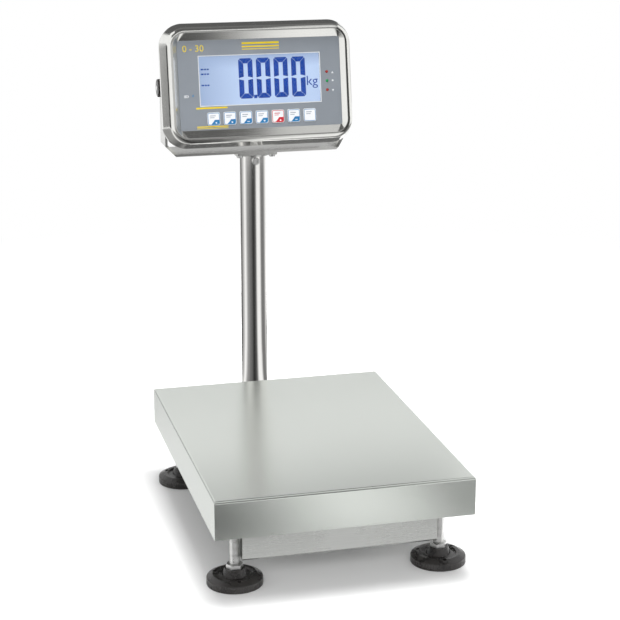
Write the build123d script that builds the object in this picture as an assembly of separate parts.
from build123d import *
import os
from math import cos, radians, sin, tan

os.makedirs("parts", exist_ok=True)

# Bench platform scale: a pan on a single load cell, and a display head on a column behind it.
# Millimetres, +Z up, floor at z = 0, X across, the operator stands on the -Y side.

# Weighing pan
pan_width = 300.0
pan_depth = 400.0
pan_skirt = 45.0
pan_sheet = 1.5
pan_bend_radius = 3.0
platform_height = 115.0

# Levelling feet
foot_inset_x = 30.0
foot_inset_y = 40.0
pad_radius = 32.0
pad_band_height = 8.0
pad_height = 18.5
pad_rib_count = 60
pad_rib_depth = 0.7
pad_rib_offset = 0.1
pad_rib_foot = 1.0
pad_rib_clear = 1.5
pad_edge_fillet = 1.5
pad_slope_width = 7.0
pad_slope_rise = 3.5
pad_ring_width = 4.0
pad_groove_side = 1.5
pad_groove_depth = 2.0
pad_hub_foot = 3.0
pad_hub_foot_rise = 2.5
pad_hub_margin = 3.0
pad_socket_depth = 8.0
pad_hole_radius = 2.5
pad_hole_circle = 24.0
pad_hole_count = 3
pad_hole_turn = 30.0
stud_radius = 6.0
stud_hex_flats = 17.0
stud_hex_height = 5.0
stud_above_nut = 3.0
stud_chamfer = 1.0
hex_chamfer = 0.6

# Base frame
ground_clearance = 31.0
frame_tube = 40.0
frame_wall = 2.0
frame_end_wall = 2.0
frame_vent = 5.0
frame_tube_corner = 3.0
frame_front_inset = 26.0
rail_width = 30.0
rail_gap = 90.0
lug_thickness = 8.0
lug_seat = 20.0
lug_edge = 8.0
lug_corner = 4.0
stop_offset_x = 16.0
stop_offset_y = 14.0
stop_nut_height = 5.0
nut_flats = 19.0
nut_height = 6.0

# Load cell and the live frame on it
cell_length = 150.0
cell_width = 40.0
cell_height = 40.0
cell_bolt_inset = 13.0
cell_bolt_x = 10.0
cell_thread_depth = 15.0
cell_thread_grip = 12.0
cell_eye_radius = 12.0
cell_eye_offset = 20.0
cell_slot = 4.0
spacer_thickness = 6.0
cell_plate_thickness = 6.0
cell_plate_length = 45.0
live_plate_thickness = 5.0
live_plate_width = 100.0
live_tube_height = 15.0
live_tube_width = 30.0
live_tube_wall = 1.5
centre_rail_width = 20.0
cross_arm_offset = 100.0
pan_play = 1.0
buffer_radius = 9.0
buffer_inset = 50.0
bolt_m8 = 4.0
bolt_m8_flats = 13.0
bolt_m8_head_height = 5.5
bolt_end = 3.0
bolt_m5 = 2.5
bolt_m5_head = 4.2
bolt_m5_head_height = 3.2
stop_gap = 0.8
centre_rail_inset = 5.0

# Circular level
level_radius = 11.0
level_height = 9.0
level_setback = 4.0
level_fillet = 1.5

# Column and its bracket
column_setback = 71.0
column_radius = 17.0
column_wall = 2.0
column_top = 403.0
bracket_width = 80.0
bracket_height = 34.0
bracket_rise = 1.0
bracket_sheet = 4.0
bracket_overhang = 50.0
bracket_flange_width = 116.0
bracket_flange = 5.0
flange_bolt_low = 9.0
flange_bolt_high = 7.0
foot_plate_side = 80.0
foot_plate_thickness = 6.0
foot_plate_bolt_inset = 13.0
foot_plate_corner = 5.0
spigot_length = 58.0
spigot_shoulder_radius = 22.0
spigot_bore = 8.0
head_plate_width = 55.0
head_plate_sheet = 3.0
head_plate_corner = 4.0
head_plate_bolt_x = 6.0
head_plate_bolt_y = 7.0
clamp_screw_radius = 3.0
clamp_screw_head = 5.0
clamp_head_length = 4.0
clamp_head_fillet = 1.0
clamp_socket_flats = 5.0
clamp_socket_depth = 2.2
clamp_groove_depth = 2.5
clamp_groove_margin = 1.0
clamp_screw_drop = 6.5

# U bracket of the display head
strap_depth = 56.0
strap_sheet = 3.0
strap_corner = 12.0
ear_width = 36.0
pivot_rise = 85.0

# Display head, in its own axes: across, up the face, and out of the face from the pivot
head_tilt = 10.0
rim_width = 248.0
rim_height = 157.0
rim_corner = 30.0
rim_taper = 7.0
rim_straight = 7.0
rim_front_fillet = 7.5
crest_width = 6.0
face_out = 52.0
crest_rise = 5.5
rim_back = 26.0
panel_width = 210.0
panel_height = 112.0
panel_corner = 3.0
panel_thickness = 3.0
panel_ledge = 3.0
rim_shell = 9.0
gasket_thickness = 2.0
shell_width = 223.0
shell_height = 140.0
shell_corner = 22.0
shell_wall = 2.0
shell_back = 34.0
shell_back_fillet = 7.0
shell_flange = 3.0
flange_inset = 3.0
tie_inset_x = 16.5
tie_inset_y = 13.0
tie_screw_radius = 2.0
tie_screw_head = 4.0
tie_boss_radius = 6.0
tie_head_height = 2.5
tie_grip = 10.0
tie_hole_end = 2.0

# What the face carries
window_width = 155.5
window_height = 61.0
window_rise = 5.2
window_corner = 1.3
module_margin = 6.0
module_thickness = 8.0
board_thickness = 1.6
board_height = 96.0
board_width = 190.0
board_corner = 2.0
key_board_side = 3.0
key_board_edge = 1.0
key_count = 7
key_side = 16.4
key_pitch = 20.8
key_drop = 42.4
key_corner = 2.5
key_proud = 0.5
key_travel = 0.5
key_fillet = 0.4
lamp_count = 3
lamp_pitch = 11.5
lamp_gap = 0.75
lamp_radius = 1.8
lamp_collar = 0.9
lamp_collar_thickness = 1.5
lamp_proud = 0.2
battery_width = 100.0
battery_height = 60.0
battery_depth = 34.0
battery_corner = 3.0
battery_x = 20.0
battery_y = 10.0

# Tilt knobs
knob_radius = 11.5
knob_thickness = 6.0
knob_flutes = 16
knob_flute_radius = 1.4
knob_flute_offset = 0.5
knob_fillet = 1.5
knob_core_proud = 0.4
knob_stud_radius = 3.0
knob_core_radius = 3.6
bush_radius = 8.0
bush_length = 12.0
washer_radius = 10.0
washer_thickness = 3.5

# Cable glands
gland_radius = 7.0
gland_nut_flats = 18.0
gland_nut_height = 5.0
gland_length = 13.0
gland_bore = 3.0
gland_stem = 6.0
gland_stem_end = 2.0
gland_fillet = 2.5
base_gland_inset = 28.8
head_gland_places = [(-45.0, -40.0), (-15.0, -40.0)]

# Clearances
running_fit = 0.05
bolt_clearance = 0.2
seat_clearance = 0.2
key_clearance = 0.3
tip_clearance = 0.3
cut_over = 2.0

# Places that follow from the sizes above
overall_depth = pan_depth + column_setback + bracket_overhang
pan_y = pan_depth / 2 - overall_depth / 2
column_y = pan_y + pan_depth / 2 + column_setback
frame_top = ground_clearance + frame_tube
frame_front = pan_y - pan_depth / 2 + frame_front_inset
frame_back = pan_y + pan_depth / 2 - frame_front_inset
foot_x = pan_width / 2 - foot_inset_x
foot_dy = pan_depth / 2 - foot_inset_y
cross_half = foot_x - stud_radius - bolt_clearance
base_gland_x = cross_half - base_gland_inset
rail_x = (rail_gap + rail_width) / 2
lug_top = frame_top + lug_thickness
cell_z = ground_clearance + cell_plate_thickness + spacer_thickness
cell_top = cell_z + cell_height
live_plate_z = cell_top + spacer_thickness
live_z = live_plate_z + live_plate_thickness
live_top = live_z + live_tube_height
pan_under = platform_height - pan_sheet
live_half_x = pan_width / 2 - pan_sheet - pan_play
live_half_y = pan_depth / 2 - pan_sheet - pan_play
long_arm_x = live_half_x - live_tube_width / 2
cell_bolt_dy = cell_length / 2 - cell_bolt_inset
bracket_top = ground_clearance + bracket_rise + bracket_height
column_bottom = bracket_top + foot_plate_thickness
column_inner = column_radius - column_wall
spigot_top = column_top + head_plate_sheet
strap_z = spigot_top + head_plate_sheet
strap_top = strap_z + strap_sheet
pivot_z = strap_z + pivot_rise
ear_inner = shell_width / 2 + washer_thickness
ear_outer = ear_inner + strap_sheet
crest_out = face_out + crest_rise
panel_back = face_out - panel_thickness
hollow_front = panel_back - panel_ledge
flange_front = rim_back - gasket_thickness
module_back = panel_back - module_thickness
lamp_side = window_width / 2 + module_margin + lamp_gap + lamp_collar + lamp_radius
tie_x = shell_width / 2 - tie_inset_x
tie_y = shell_height / 2 - tie_inset_y

head_frame = Plane(
    origin=(0, column_y, pivot_z),
    x_dir=(1, 0, 0),
    z_dir=(0, -cos(radians(head_tilt)), sin(radians(head_tilt))),
).location

centred_up = (Align.CENTER, Align.CENTER, Align.MIN)


def save(node, *solids):
    """Writes one node; several solids become one group."""
    shape = solids[0] if len(solids) == 1 else Compound(children=list(solids))
    export_step(shape, f"parts/{node}.step")


def block(x0, x1, y0, y1, z0, z1):
    size = Box(x1 - x0, y1 - y0, z1 - z0)
    return Pos((x0 + x1) / 2, (y0 + y1) / 2, (z0 + z1) / 2) * size


def rod(radius, z0, z1, x=0.0, y=0.0):
    return Pos(x, y, z0) * Cylinder(radius, z1 - z0, align=centred_up)


def hexagon(flats, z0, z1, x=0.0, y=0.0):
    outline = RegularPolygon(flats / 2, 6, major_radius=False)
    return Pos(x, y, z0) * extrude(outline, z1 - z0)


def slab(width, height, corner, z0, z1, x=0.0, y=0.0):
    """Rounded rectangle in the XY plane, raised from z0 to z1."""
    return Pos(x, y, z0) * extrude(RectangleRounded(width, height, corner), z1 - z0)


def square_tube(x0, x1, y0, y1, z0, z1, wall, along, corner, end_wall=0.0):
    """Tube along X or Y, open at its ends unless they have a wall."""
    outer = block(x0, x1, y0, y1, z0, z1)
    outer = fillet(outer.edges().filter_by(along), corner)
    in_x, in_y = (end_wall, wall) if along == Axis.X else (wall, end_wall)
    return outer - block(x0 + in_x, x1 - in_x, y0 + in_y, y1 - in_y, z0 + wall, z1 - wall)


def hole_along_y(radius, wall, x, y, z):
    """Cutter for a round hole through a wall whose face is at y."""
    return Pos(x, y, z) * Rot(90, 0, 0) * Cylinder(radius, wall * 3)


def bolt_down(x, y, seat, shank):
    """Hexagon bolt with its head on the seat and its shank going down."""
    head = hexagon(bolt_m8_flats, seat, seat + bolt_m8_head_height, x, y)
    return head + rod(bolt_m8, seat - shank, seat, x, y)


def corners(dx, dy, y=0.0):
    return [(sx * dx, y + sy * dy) for sy in (-1, 1) for sx in (-1, 1)]


foot_names = ["front_left", "front_right", "rear_left", "rear_right"]
foot_places = corners(foot_x, foot_dy, pan_y)


# Weighing pan
def weighing_pan():
    half_x = pan_width / 2
    half_y = pan_depth / 2
    bottom = platform_height - pan_skirt
    outer = block(-half_x, half_x, pan_y - half_y, pan_y + half_y, bottom, platform_height)
    outer = fillet(outer.edges().filter_by(Axis.Z), pan_sheet / 2)
    outer = fillet(outer.edges().group_by(Axis.Z)[-1], pan_bend_radius)
    in_x = half_x - pan_sheet
    in_y = half_y - pan_sheet
    inner = block(-in_x, in_x, pan_y - in_y, pan_y + in_y, bottom, pan_under)
    inner = fillet(inner.edges().group_by(Axis.Z)[-1], pan_bend_radius - pan_sheet)
    return outer - inner


save("weighing_pan", weighing_pan())


# Levelling feet: ribbed pad, and a stud that turns in it
def foot_pad():
    hub = stud_hex_flats / 2 + pad_hub_margin
    ring_out = pad_radius - pad_slope_width
    ring_in = ring_out - pad_ring_width
    ring_z = pad_band_height + pad_slope_rise
    profile = Polyline(
        (0, 0), (pad_radius, 0), (pad_radius, pad_band_height), (ring_out, ring_z), (ring_in, ring_z),
        (ring_in - pad_groove_side, ring_z - pad_groove_depth),
        (hub + pad_hub_foot, pad_band_height + pad_hub_foot_rise), (hub, pad_height), (0, pad_height),
        close=True,
    )
    pad = revolve(Plane.XZ * make_face(profile), Axis.Z)
    rim = [edge for edge in pad.edges().filter_by(GeomType.CIRCLE) if edge.radius > pad_radius - 0.1]
    pad = fillet(max(rim, key=lambda edge: edge.center().Z), pad_edge_fillet)
    pad -= rod(stud_radius + running_fit, pad_height - pad_socket_depth, pad_height)
    holes = [
        loc * rod(pad_hole_radius, 0, pad_height)
        for loc in PolarLocations(pad_hole_circle, pad_hole_count, start_angle=pad_hole_turn)
    ]
    ribs = [
        loc * rod(pad_rib_depth, pad_rib_foot, pad_band_height - pad_rib_clear)
        for loc in PolarLocations(pad_radius + pad_rib_offset, pad_rib_count)
    ]
    return pad - holes - ribs


def foot_stud():
    hex_top = pad_height + stud_hex_height
    top = lug_top + nut_height + stud_above_nut
    shaft = rod(stud_radius, pad_height - pad_socket_depth, top)
    shaft = chamfer(shaft.edges().group_by(Axis.Z)[-1], stud_chamfer)
    collar = hexagon(stud_hex_flats, pad_height, hex_top)
    collar = chamfer(collar.edges().group_by(Axis.Z)[-1], hex_chamfer)
    return shaft + collar


pad_shape = foot_pad()
stud_shape = foot_stud()
for name, (x, y) in zip(foot_names, foot_places):
    save(f"foot_pad_{name}", Pos(x, y, 0) * pad_shape)
    save(f"foot_stud_{name}", Pos(x, y, 0) * stud_shape)


# Base frame: two cross tubes with closed ends, two rails between them, a lug for each foot
def cross_tube(front, rail_face):
    """Cross tube whose inside is open to each rail through a vent hole."""
    tube = square_tube(
        -cross_half, cross_half, front, front + frame_tube,
        ground_clearance, frame_top, frame_wall, Axis.X, frame_tube_corner, frame_end_wall,
    )
    for side in (-1, 1):
        tube -= hole_along_y(frame_vent, frame_wall, side * rail_x, rail_face, frame_mid)
    return tube


def rear_cross_tube():
    tube = cross_tube(rail_back, rail_back)
    for x, z in flange_bolt_places:
        tube -= hole_along_y(bolt_m8 + bolt_clearance, frame_wall, x, frame_back, z)
    return tube - hole_along_y(gland_stem + bolt_clearance, frame_wall, base_gland_x, frame_back, frame_mid)


frame_mid = ground_clearance + frame_tube / 2
flange_bolt_x = (bracket_width + bracket_flange_width) / 4
flange_bolt_places = [
    (sx * flange_bolt_x, frame_mid + dz) for sx in (-1, 1) for dz in (-flange_bolt_low, flange_bolt_high)]
rail_front = frame_front + frame_tube
rail_back = frame_back - frame_tube
save("front_cross_tube", cross_tube(frame_front, rail_front))
save("rear_cross_tube", rear_cross_tube())
for name, side in (("left", -1), ("right", 1)):
    near = side * rail_gap / 2
    far = side * (rail_gap / 2 + rail_width)
    save(f"base_rail_{name}", square_tube(
        min(near, far), max(near, far), rail_front, rail_back,
        ground_clearance, frame_top, frame_wall, Axis.Y, frame_tube_corner,
    ))

stop_x = foot_x + stop_offset_x
stop_dy = foot_dy - stop_offset_y
lug_half_y = stop_offset_y + lug_edge
lug_out = stop_x + lug_edge
lug_in = cross_half - lug_seat


def foot_lug(x, y):
    side = 1 if x > 0 else -1
    near = side * lug_in
    far = side * lug_out
    plate = block(
        min(near, far), max(near, far), y - lug_half_y, y + lug_half_y, frame_top, lug_top)
    plate = fillet(plate.edges().filter_by(Axis.Z), lug_corner)
    plate -= rod(stud_radius + running_fit, frame_top, lug_top, x, y)
    inward = -1 if y > pan_y else 1
    stop_y = y + inward * stop_offset_y
    return plate - rod(bolt_m8 + running_fit, frame_top, lug_top, side * stop_x, stop_y)


save("foot_lugs", *[foot_lug(x, y) for x, y in foot_places])
save("foot_lock_nuts", *[
    hexagon(nut_flats, lug_top, lug_top + nut_height, x, y)
    - rod(stud_radius + running_fit, lug_top, lug_top + nut_height, x, y)
    for x, y in foot_places
])

stop_places = corners(stop_x, stop_dy, pan_y)
save("overload_stops", *[
    rod(bolt_m8, frame_top, live_z - stop_gap, x, y)
    + hexagon(bolt_m8_flats, lug_top, lug_top + stop_nut_height, x, y)
    for x, y in stop_places
])


# Load cell between the base plate at its back and the live plate at its front
def load_cell():
    half = cell_length / 2
    body = block(-cell_width / 2, cell_width / 2, pan_y - half, pan_y + half, cell_z, cell_top)
    mid = (cell_z + cell_top) / 2
    for side in (-1, 1):
        eye = Rot(0, 90, 0) * Cylinder(cell_eye_radius, cell_width + cut_over)
        body -= Pos(0, pan_y + side * cell_eye_offset, mid) * eye
    body -= block(
        -cell_width, cell_width, pan_y - cell_eye_offset, pan_y + cell_eye_offset,
        mid - cell_slot / 2, mid + cell_slot / 2,
    )
    for x in (-cell_bolt_x, cell_bolt_x):
        body -= rod(bolt_m8 + running_fit, cell_z, cell_z + cell_thread_depth, x, pan_y + cell_bolt_dy)
        body -= rod(bolt_m8 + running_fit, cell_top - cell_thread_depth, cell_top, x, pan_y - cell_bolt_dy)
    return body


def drilled(plate, y, z0, z1):
    for x in (-cell_bolt_x, cell_bolt_x):
        plate -= rod(bolt_m8 + bolt_clearance, z0, z1, x, y)
    return plate


save("load_cell", load_cell())
back_y = pan_y + cell_bolt_dy
front_y = pan_y - cell_bolt_dy
lower_plate_top = ground_clearance + cell_plate_thickness
save("cell_base_plate", drilled(
    block(-rail_gap / 2, rail_gap / 2, back_y - cell_plate_length / 2, back_y + cell_plate_length / 2,
          ground_clearance, lower_plate_top),
    back_y, ground_clearance, lower_plate_top))
save("cell_spacers",
     drilled(block(-cell_width / 2, cell_width / 2, back_y - cell_bolt_inset, back_y + cell_bolt_inset,
                   lower_plate_top, cell_z), back_y, lower_plate_top, cell_z),
     drilled(block(-cell_width / 2, cell_width / 2, front_y - cell_bolt_inset, front_y + cell_bolt_inset,
                   cell_top, live_plate_z), front_y, cell_top, live_plate_z))
upper_bolt_shank = live_z - cell_top + cell_thread_grip
lower_bolt_shank = cell_z - ground_clearance + cell_thread_grip
cell_bolts = []
for x in (-cell_bolt_x, cell_bolt_x):
    cell_bolts.append(bolt_down(x, front_y, live_z, upper_bolt_shank))
    head = hexagon(bolt_m8_flats, ground_clearance - bolt_m8_head_height, ground_clearance, x, back_y)
    shank = rod(bolt_m8, ground_clearance, ground_clearance + lower_bolt_shank, x, back_y)
    cell_bolts.append(head + shank)
save("cell_bolts", *cell_bolts)


# Live frame under the pan
cross_front = pan_y - cross_arm_offset
save("live_plate", drilled(
    block(-live_plate_width / 2, live_plate_width / 2, cross_front - live_tube_width / 2,
          front_y + cell_plate_length / 2, live_plate_z, live_z),
    front_y, live_plate_z, live_z))
save("live_long_arms", *[
    square_tube(side * long_arm_x - live_tube_width / 2, side * long_arm_x + live_tube_width / 2,
                pan_y - live_half_y, pan_y + live_half_y, live_z, live_top,
                live_tube_wall, Axis.Y, live_tube_wall)
    for side in (-1, 1)
])
cross_end = long_arm_x - live_tube_width / 2
save("live_cross_arms", *[
    square_tube(-cross_end, cross_end, pan_y + side * cross_arm_offset - live_tube_width / 2,
                pan_y + side * cross_arm_offset + live_tube_width / 2, live_z, live_top,
                live_tube_wall, Axis.X, live_tube_wall)
    for side in (-1, 1)
])
centre_rail_end = cross_arm_offset - live_tube_width / 2
centre_rail_x = live_plate_width / 2 - centre_rail_width / 2 - centre_rail_inset
save("live_centre_rails", *[
    square_tube(side * centre_rail_x - centre_rail_width / 2, side * centre_rail_x + centre_rail_width / 2,
                pan_y - centre_rail_end, pan_y + centre_rail_end, live_z, live_top,
                live_tube_wall, Axis.Y, live_tube_wall)
    for side in (-1, 1)
])
save("pan_buffers", *[
    rod(buffer_radius, live_top, pan_under, x, y)
    for x, y in corners(long_arm_x, pan_depth / 2 - buffer_inset, pan_y)
])


# Circular level on the rear tube, under the pan
def spirit_level():
    y = frame_back - frame_tube / 2 + level_setback
    cup = rod(level_radius, frame_top, frame_top + level_height, -foot_x / 2, y)
    return fillet(cup.edges().group_by(Axis.Z)[-1], level_fillet)


save("spirit_level", spirit_level())


def gland(z0):
    """Cable gland with its nut at z0 and its dome rising from it."""
    nut = hexagon(gland_nut_flats, z0, z0 + gland_nut_height)
    dome = rod(gland_radius, z0 + gland_nut_height, z0 + gland_length)
    dome = fillet(dome.edges().group_by(Axis.Z)[-1], gland_fillet)
    stem_z = z0 - frame_wall - gland_stem_end
    return nut + dome + rod(gland_stem, stem_z, z0) - rod(gland_bore, stem_z, z0 + gland_length)


save("base_gland", Pos(base_gland_x, frame_back, frame_mid) * Rot(-90, 0, 0) * gland(0.0))


# Column bracket bolted to the back of the rear tube
bracket_bottom = bracket_top - bracket_height
bracket_start = frame_back + bracket_flange
bracket_end = column_y + bracket_overhang


def column_bracket():
    half = bracket_width / 2
    channel = block(-half, half, bracket_start, bracket_end, bracket_bottom, bracket_top)
    inner = half - bracket_sheet
    channel -= block(-inner, inner, bracket_start, bracket_end - bracket_sheet,
                     bracket_bottom, bracket_top - bracket_sheet)
    flange_half = bracket_flange_width / 2
    flange = block(-flange_half, flange_half, frame_back, bracket_start, bracket_bottom, bracket_top)
    for x, z in flange_bolt_places:
        flange -= hole_along_y(bolt_m8 + bolt_clearance, bracket_flange, x, bracket_start, z)
    bracket = channel + flange
    for x, y in plate_bolt_places:
        bracket -= rod(bolt_m8 + bolt_clearance, bracket_top - bracket_sheet, bracket_top, x, y)
    return bracket


plate_bolt_reach = foot_plate_side / 2 - foot_plate_bolt_inset
plate_bolt_places = corners(plate_bolt_reach, plate_bolt_reach, column_y)
save("column_bracket", column_bracket())


def column_foot():
    half = foot_plate_side / 2
    plate = block(-half, half, column_y - half, column_y + half, bracket_top, column_bottom)
    plate = fillet(plate.edges().filter_by(Axis.Z), foot_plate_corner)
    for x, y in plate_bolt_places:
        plate -= rod(bolt_m8 + bolt_clearance, bracket_top, column_bottom, x, y)
    return plate


save("column_foot_plate", column_foot())
column_bolts = [
    bolt_down(x, y, column_bottom, foot_plate_thickness + bracket_sheet + bolt_end)
    for x, y in plate_bolt_places
]
flat_bolt = bolt_down(0, 0, 0, bracket_flange + frame_wall + bolt_end)
column_bolts += [Pos(x, bracket_start, z) * Rot(-90, 0, 0) * flat_bolt for x, z in flange_bolt_places]
save("column_bolts", *column_bolts)


# Column, its clamp screw and the spigot that swivels in it
clamp_z = column_top - clamp_screw_drop
clamp_tip = column_inner - clamp_groove_depth


def along_front(radius, inner, outer):
    """Round bar on the clamp screw's axis, between two distances in front of the column's axis."""
    bar = Cylinder(radius, outer - inner, align=centred_up)
    return Pos(0, column_y, clamp_z) * Rot(90, 0, 0) * Pos(0, 0, inner) * bar


def column_tube():
    tube = rod(column_radius, column_bottom, column_top, 0, column_y)
    tube -= rod(column_inner, column_bottom, column_top, 0, column_y)
    return tube - along_front(
        clamp_screw_radius + running_fit, column_inner - cut_over, column_radius + cut_over)


def clamp_screw():
    head_end = column_radius + clamp_head_length
    head = along_front(clamp_screw_head, column_radius, head_end)
    head = fillet(head.edges().group_by(Axis.Y)[0], clamp_head_fillet)
    screw = head + along_front(clamp_screw_radius, clamp_tip + tip_clearance, column_radius)
    socket = hexagon(clamp_socket_flats, head_end - clamp_socket_depth, head_end)
    return screw - Pos(0, column_y, clamp_z) * Rot(90, 0, 0) * socket


def swivel_spigot():
    fit_radius = column_inner - running_fit
    spigot = rod(fit_radius, column_top - spigot_length, column_top, 0, column_y)
    groove_half = clamp_screw_radius + clamp_groove_margin
    ring = rod(column_inner, clamp_z - groove_half, clamp_z + groove_half, 0, column_y)
    ring -= rod(clamp_tip, clamp_z - groove_half, clamp_z + groove_half, 0, column_y)
    shoulder = rod(spigot_shoulder_radius, column_top, spigot_top, 0, column_y)
    half = head_plate_width / 2
    plate = block(-half, half, column_y - strap_depth / 2, column_y + strap_depth / 2, spigot_top, strap_z)
    plate = fillet(plate.edges().filter_by(Axis.Z), head_plate_corner)
    body = spigot - ring + shoulder + plate
    for x, y in head_plate_places:
        body -= rod(bolt_m5 + bolt_clearance, spigot_top, strap_z, x, y)
    return body - rod(spigot_bore, column_top - spigot_length, strap_z, 0, column_y)


head_plate_places = corners(
    head_plate_width / 2 - head_plate_bolt_x, strap_depth / 2 - head_plate_bolt_y, column_y)
save("column_tube", column_tube())
save("clamp_screw", clamp_screw())
save("swivel_spigot", swivel_spigot())


# U bracket: strap, chamfered corners, two ears with round tops
def head_bracket():
    flat = ear_outer - strap_corner
    inset = strap_sheet * tan(radians(22.5))
    top = pivot_z + ear_width / 2
    shoulder = strap_z + strap_corner
    outer = [(flat, strap_z), (ear_outer, shoulder), (ear_outer, top)]
    inner = [(ear_inner, top), (ear_inner, shoulder + inset), (flat - inset, strap_top)]
    right = outer + inner
    left = [(-x, z) for x, z in reversed(right)]
    front_view = make_face(Polyline(*right, *left, close=True))
    folded = extrude(Plane.XZ * front_view, strap_depth / 2, both=True)
    wide = strap_depth / 2
    slim = ear_width / 2
    side_view = make_face(Polyline(
        (-wide, strap_z), (wide, strap_z), (wide, strap_top), (slim, shoulder),
        (slim, pivot_z), (-slim, pivot_z), (-slim, shoulder), (-wide, strap_top), close=True,
    )) + Pos(0, pivot_z) * Circle(slim)
    trimmed = folded & extrude(Plane.YZ * side_view, ear_outer + cut_over, both=True)
    bore = Rot(0, 90, 0) * Cylinder(knob_stud_radius + tip_clearance, 2 * ear_outer + cut_over)
    trimmed -= Pos(0, 0, pivot_z) * bore
    bracket = Pos(0, column_y, 0) * trimmed
    for x, y in head_plate_places:
        bracket -= rod(bolt_m5 + running_fit, strap_z, strap_top, x, y)
    return bracket


save("head_bracket", head_bracket())
save("bracket_screws", *[
    rod(bolt_m5_head, spigot_top - bolt_m5_head_height, spigot_top, x, y)
    + rod(bolt_m5, spigot_top, strap_top, x, y)
    for x, y in head_plate_places
])


# Front rim of the display head, drawn from one sheet with a sloping inner wall
def front_rim():
    shoulder = rim_back + rim_straight
    body = slab(rim_width, rim_height, rim_corner, rim_back, shoulder)
    wide = Pos(0, 0, shoulder) * RectangleRounded(rim_width, rim_height, rim_corner)
    crest_w = rim_width - 2 * rim_taper
    crest_h = rim_height - 2 * rim_taper
    slim = Pos(0, 0, crest_out) * RectangleRounded(crest_w, crest_h, rim_corner - rim_taper)
    body += loft([wide, slim])
    body = fillet(body.edges().group_by(Axis.Z)[-1], rim_front_fillet)
    mouth = Pos(0, 0, crest_out) * RectangleRounded(
        crest_w - 2 * crest_width, crest_h - 2 * crest_width, rim_corner - rim_taper - crest_width)
    seat_w = panel_width + 2 * seat_clearance
    seat_h = panel_height + 2 * seat_clearance
    seat = Pos(0, 0, face_out) * RectangleRounded(seat_w, seat_h, panel_corner)
    body -= loft([seat, mouth])
    body -= slab(seat_w, seat_h, panel_corner, panel_back, face_out)
    body -= slab(panel_width - 2 * panel_ledge, panel_height - 2 * panel_ledge, panel_corner,
                 hollow_front, panel_back)
    body -= slab(rim_width - 2 * rim_shell, rim_height - 2 * rim_shell, rim_corner - rim_shell,
                 rim_back, hollow_front)
    for x, y in corners(tie_x, tie_y):
        body += rod(tie_boss_radius, rim_back, hollow_front, x, y)
        body -= rod(tie_screw_radius + running_fit, rim_back, rim_back + tie_grip + tie_hole_end, x, y)
    return body


save("front_rim", head_frame * front_rim())


# Face panel with its window, lamp holes and key holes
key_places = [((i - (key_count - 1) / 2) * key_pitch, -key_drop) for i in range(key_count)]
lamp_places = [(lamp_side, (1 - i) * lamp_pitch) for i in range(lamp_count)]


def face_panel():
    panel = slab(panel_width, panel_height, panel_corner, panel_back, face_out)
    panel -= slab(window_width + 2 * seat_clearance, window_height + 2 * seat_clearance,
                  window_corner + seat_clearance, panel_back, face_out, 0, window_rise)
    hole = key_side + 2 * key_clearance
    for x, y in key_places:
        panel -= slab(hole, hole, key_corner + key_clearance, panel_back, face_out, x, y)
    for x, y in lamp_places:
        panel -= rod(lamp_radius + seat_clearance, panel_back, face_out, x, y)
    return panel


save("face_panel", head_frame * face_panel())
save("display_window", head_frame * slab(
    window_width, window_height, window_corner, panel_back, face_out, 0, window_rise))
save("display_module", head_frame * slab(
    window_width + 2 * module_margin, window_height + 2 * module_margin, board_corner,
    module_back, panel_back, 0, window_rise))
save("main_board", head_frame * slab(
    board_width, board_height, board_corner, module_back - board_thickness, module_back))
key_board_width = key_pitch * key_count + 2 * key_board_side
save("key_board", head_frame * slab(
    key_board_width, key_side + 2 * key_board_edge, board_corner,
    panel_back - board_thickness, panel_back, 0, -key_drop))
save("status_lamps", *[
    head_frame * (rod(lamp_radius, panel_back, face_out + lamp_proud, x, y)
                  + rod(lamp_radius + lamp_collar, panel_back - lamp_collar_thickness, panel_back, x, y))
    for x, y in lamp_places
])
for i, (x, y) in enumerate(key_places):
    key = slab(key_side, key_side, key_corner, panel_back + key_travel, face_out + key_proud, x, y)
    key = fillet(key.edges().group_by(Axis.Z)[-1], key_fillet)
    save(f"key_{i + 1}", head_frame * key)


# Rear shell of the head, its gasket and the four screws that tie it to the rim
def rear_shell():
    body = slab(shell_width, shell_height, shell_corner, -shell_back, flange_front)
    body = fillet(body.edges().group_by(Axis.Z)[0], shell_back_fillet)
    flange_w = rim_width - 2 * flange_inset
    flange_h = rim_height - 2 * flange_inset
    body += slab(flange_w, flange_h, rim_corner - flange_inset, flange_front - shell_flange, flange_front)
    hollow = slab(shell_width - 2 * shell_wall, shell_height - 2 * shell_wall, shell_corner - shell_wall,
                  shell_wall - shell_back, flange_front)
    hollow = fillet(hollow.edges().group_by(Axis.Z)[0], shell_back_fillet - shell_wall)
    body -= hollow
    for x, y in corners(tie_x, tie_y):
        body -= rod(tie_screw_radius + bolt_clearance, -shell_back, shell_wall - shell_back, x, y)
    body -= Rot(0, 90, 0) * Cylinder(knob_stud_radius + tip_clearance, shell_width + cut_over)
    gland_hole = rod(gland_stem + bolt_clearance, -shell_back, shell_wall - shell_back)
    return body - [Pos(x, y, 0) * gland_hole for x, y in head_gland_places]


save("rear_shell", head_frame * rear_shell())


def rim_gasket():
    flange_w = rim_width - 2 * flange_inset
    flange_h = rim_height - 2 * flange_inset
    ring = slab(flange_w, flange_h, rim_corner - flange_inset, flange_front, rim_back)
    return ring - slab(rim_width - 2 * rim_shell, rim_height - 2 * rim_shell, rim_corner - rim_shell,
                       flange_front, rim_back)


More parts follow.
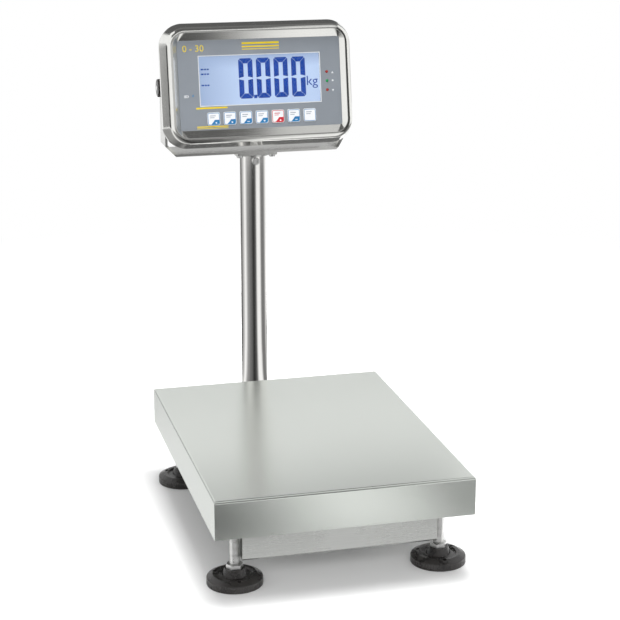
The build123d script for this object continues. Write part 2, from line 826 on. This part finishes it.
save("rim_gasket", head_frame * rim_gasket())
save("tie_screws", *[
    head_frame * (rod(tie_screw_head, -shell_back - tie_head_height, -shell_back, x, y)
                  + rod(tie_screw_radius, -shell_back, rim_back + tie_grip, x, y))
    for x, y in corners(tie_x, tie_y)
])
save("battery_pack", head_frame * slab(
    battery_width, battery_height, battery_corner,
    shell_wall - shell_back, shell_wall - shell_back + battery_depth, battery_x, battery_y))
save("head_glands", *[
    head_frame * Pos(x, y, -shell_back) * Rot(180, 0, 0) * gland(0.0) for x, y in head_gland_places
])


# Tilt pivots: bush, washer and knob on each side
def across(radius, inner, outer, side):
    """Round bar on the tilt axis, between two distances from the middle."""
    bar = Cylinder(radius, outer - inner, align=centred_up)
    return Rot(0, 90 * side, 0) * Pos(0, 0, inner) * bar


def knob_cap(side):
    cap = across(knob_radius, ear_outer, ear_outer + knob_thickness, side)
    cap = fillet(cap.edges().group_by(Axis.X)[-1 if side > 0 else 0], knob_fillet)
    flutes = [
        Rot(0, 90 * side, 0) * loc * rod(knob_flute_radius, ear_outer, ear_outer + knob_thickness)
        for loc in PolarLocations(knob_radius + knob_flute_offset, knob_flutes)
    ]
    return cap - flutes - across(
        knob_core_radius + running_fit, ear_outer, ear_outer + knob_thickness, side)


shell_side = shell_width / 2
bush_in = shell_side - shell_wall - bush_length
for name, side in (("left", -1), ("right", 1)):
    core = across(knob_core_radius, ear_outer, ear_outer + knob_thickness + knob_core_proud, side)
    core += across(knob_stud_radius, bush_in, ear_outer, side)
    save(f"knob_core_{name}", head_frame * core)
    save(f"knob_cap_{name}", head_frame * knob_cap(side))
save("pivot_bushes", *[
    head_frame * (across(bush_radius, bush_in, shell_side - shell_wall, side)
                  - across(knob_stud_radius + running_fit, bush_in, shell_side - shell_wall, side))
    for side in (-1, 1)
])
save("pivot_washers", *[
    head_frame * (across(washer_radius, shell_side, shell_side + washer_thickness, side)
                  - across(knob_stud_radius + tip_clearance, shell_side, shell_side + washer_thickness, side))
    for side in (-1, 1)
])
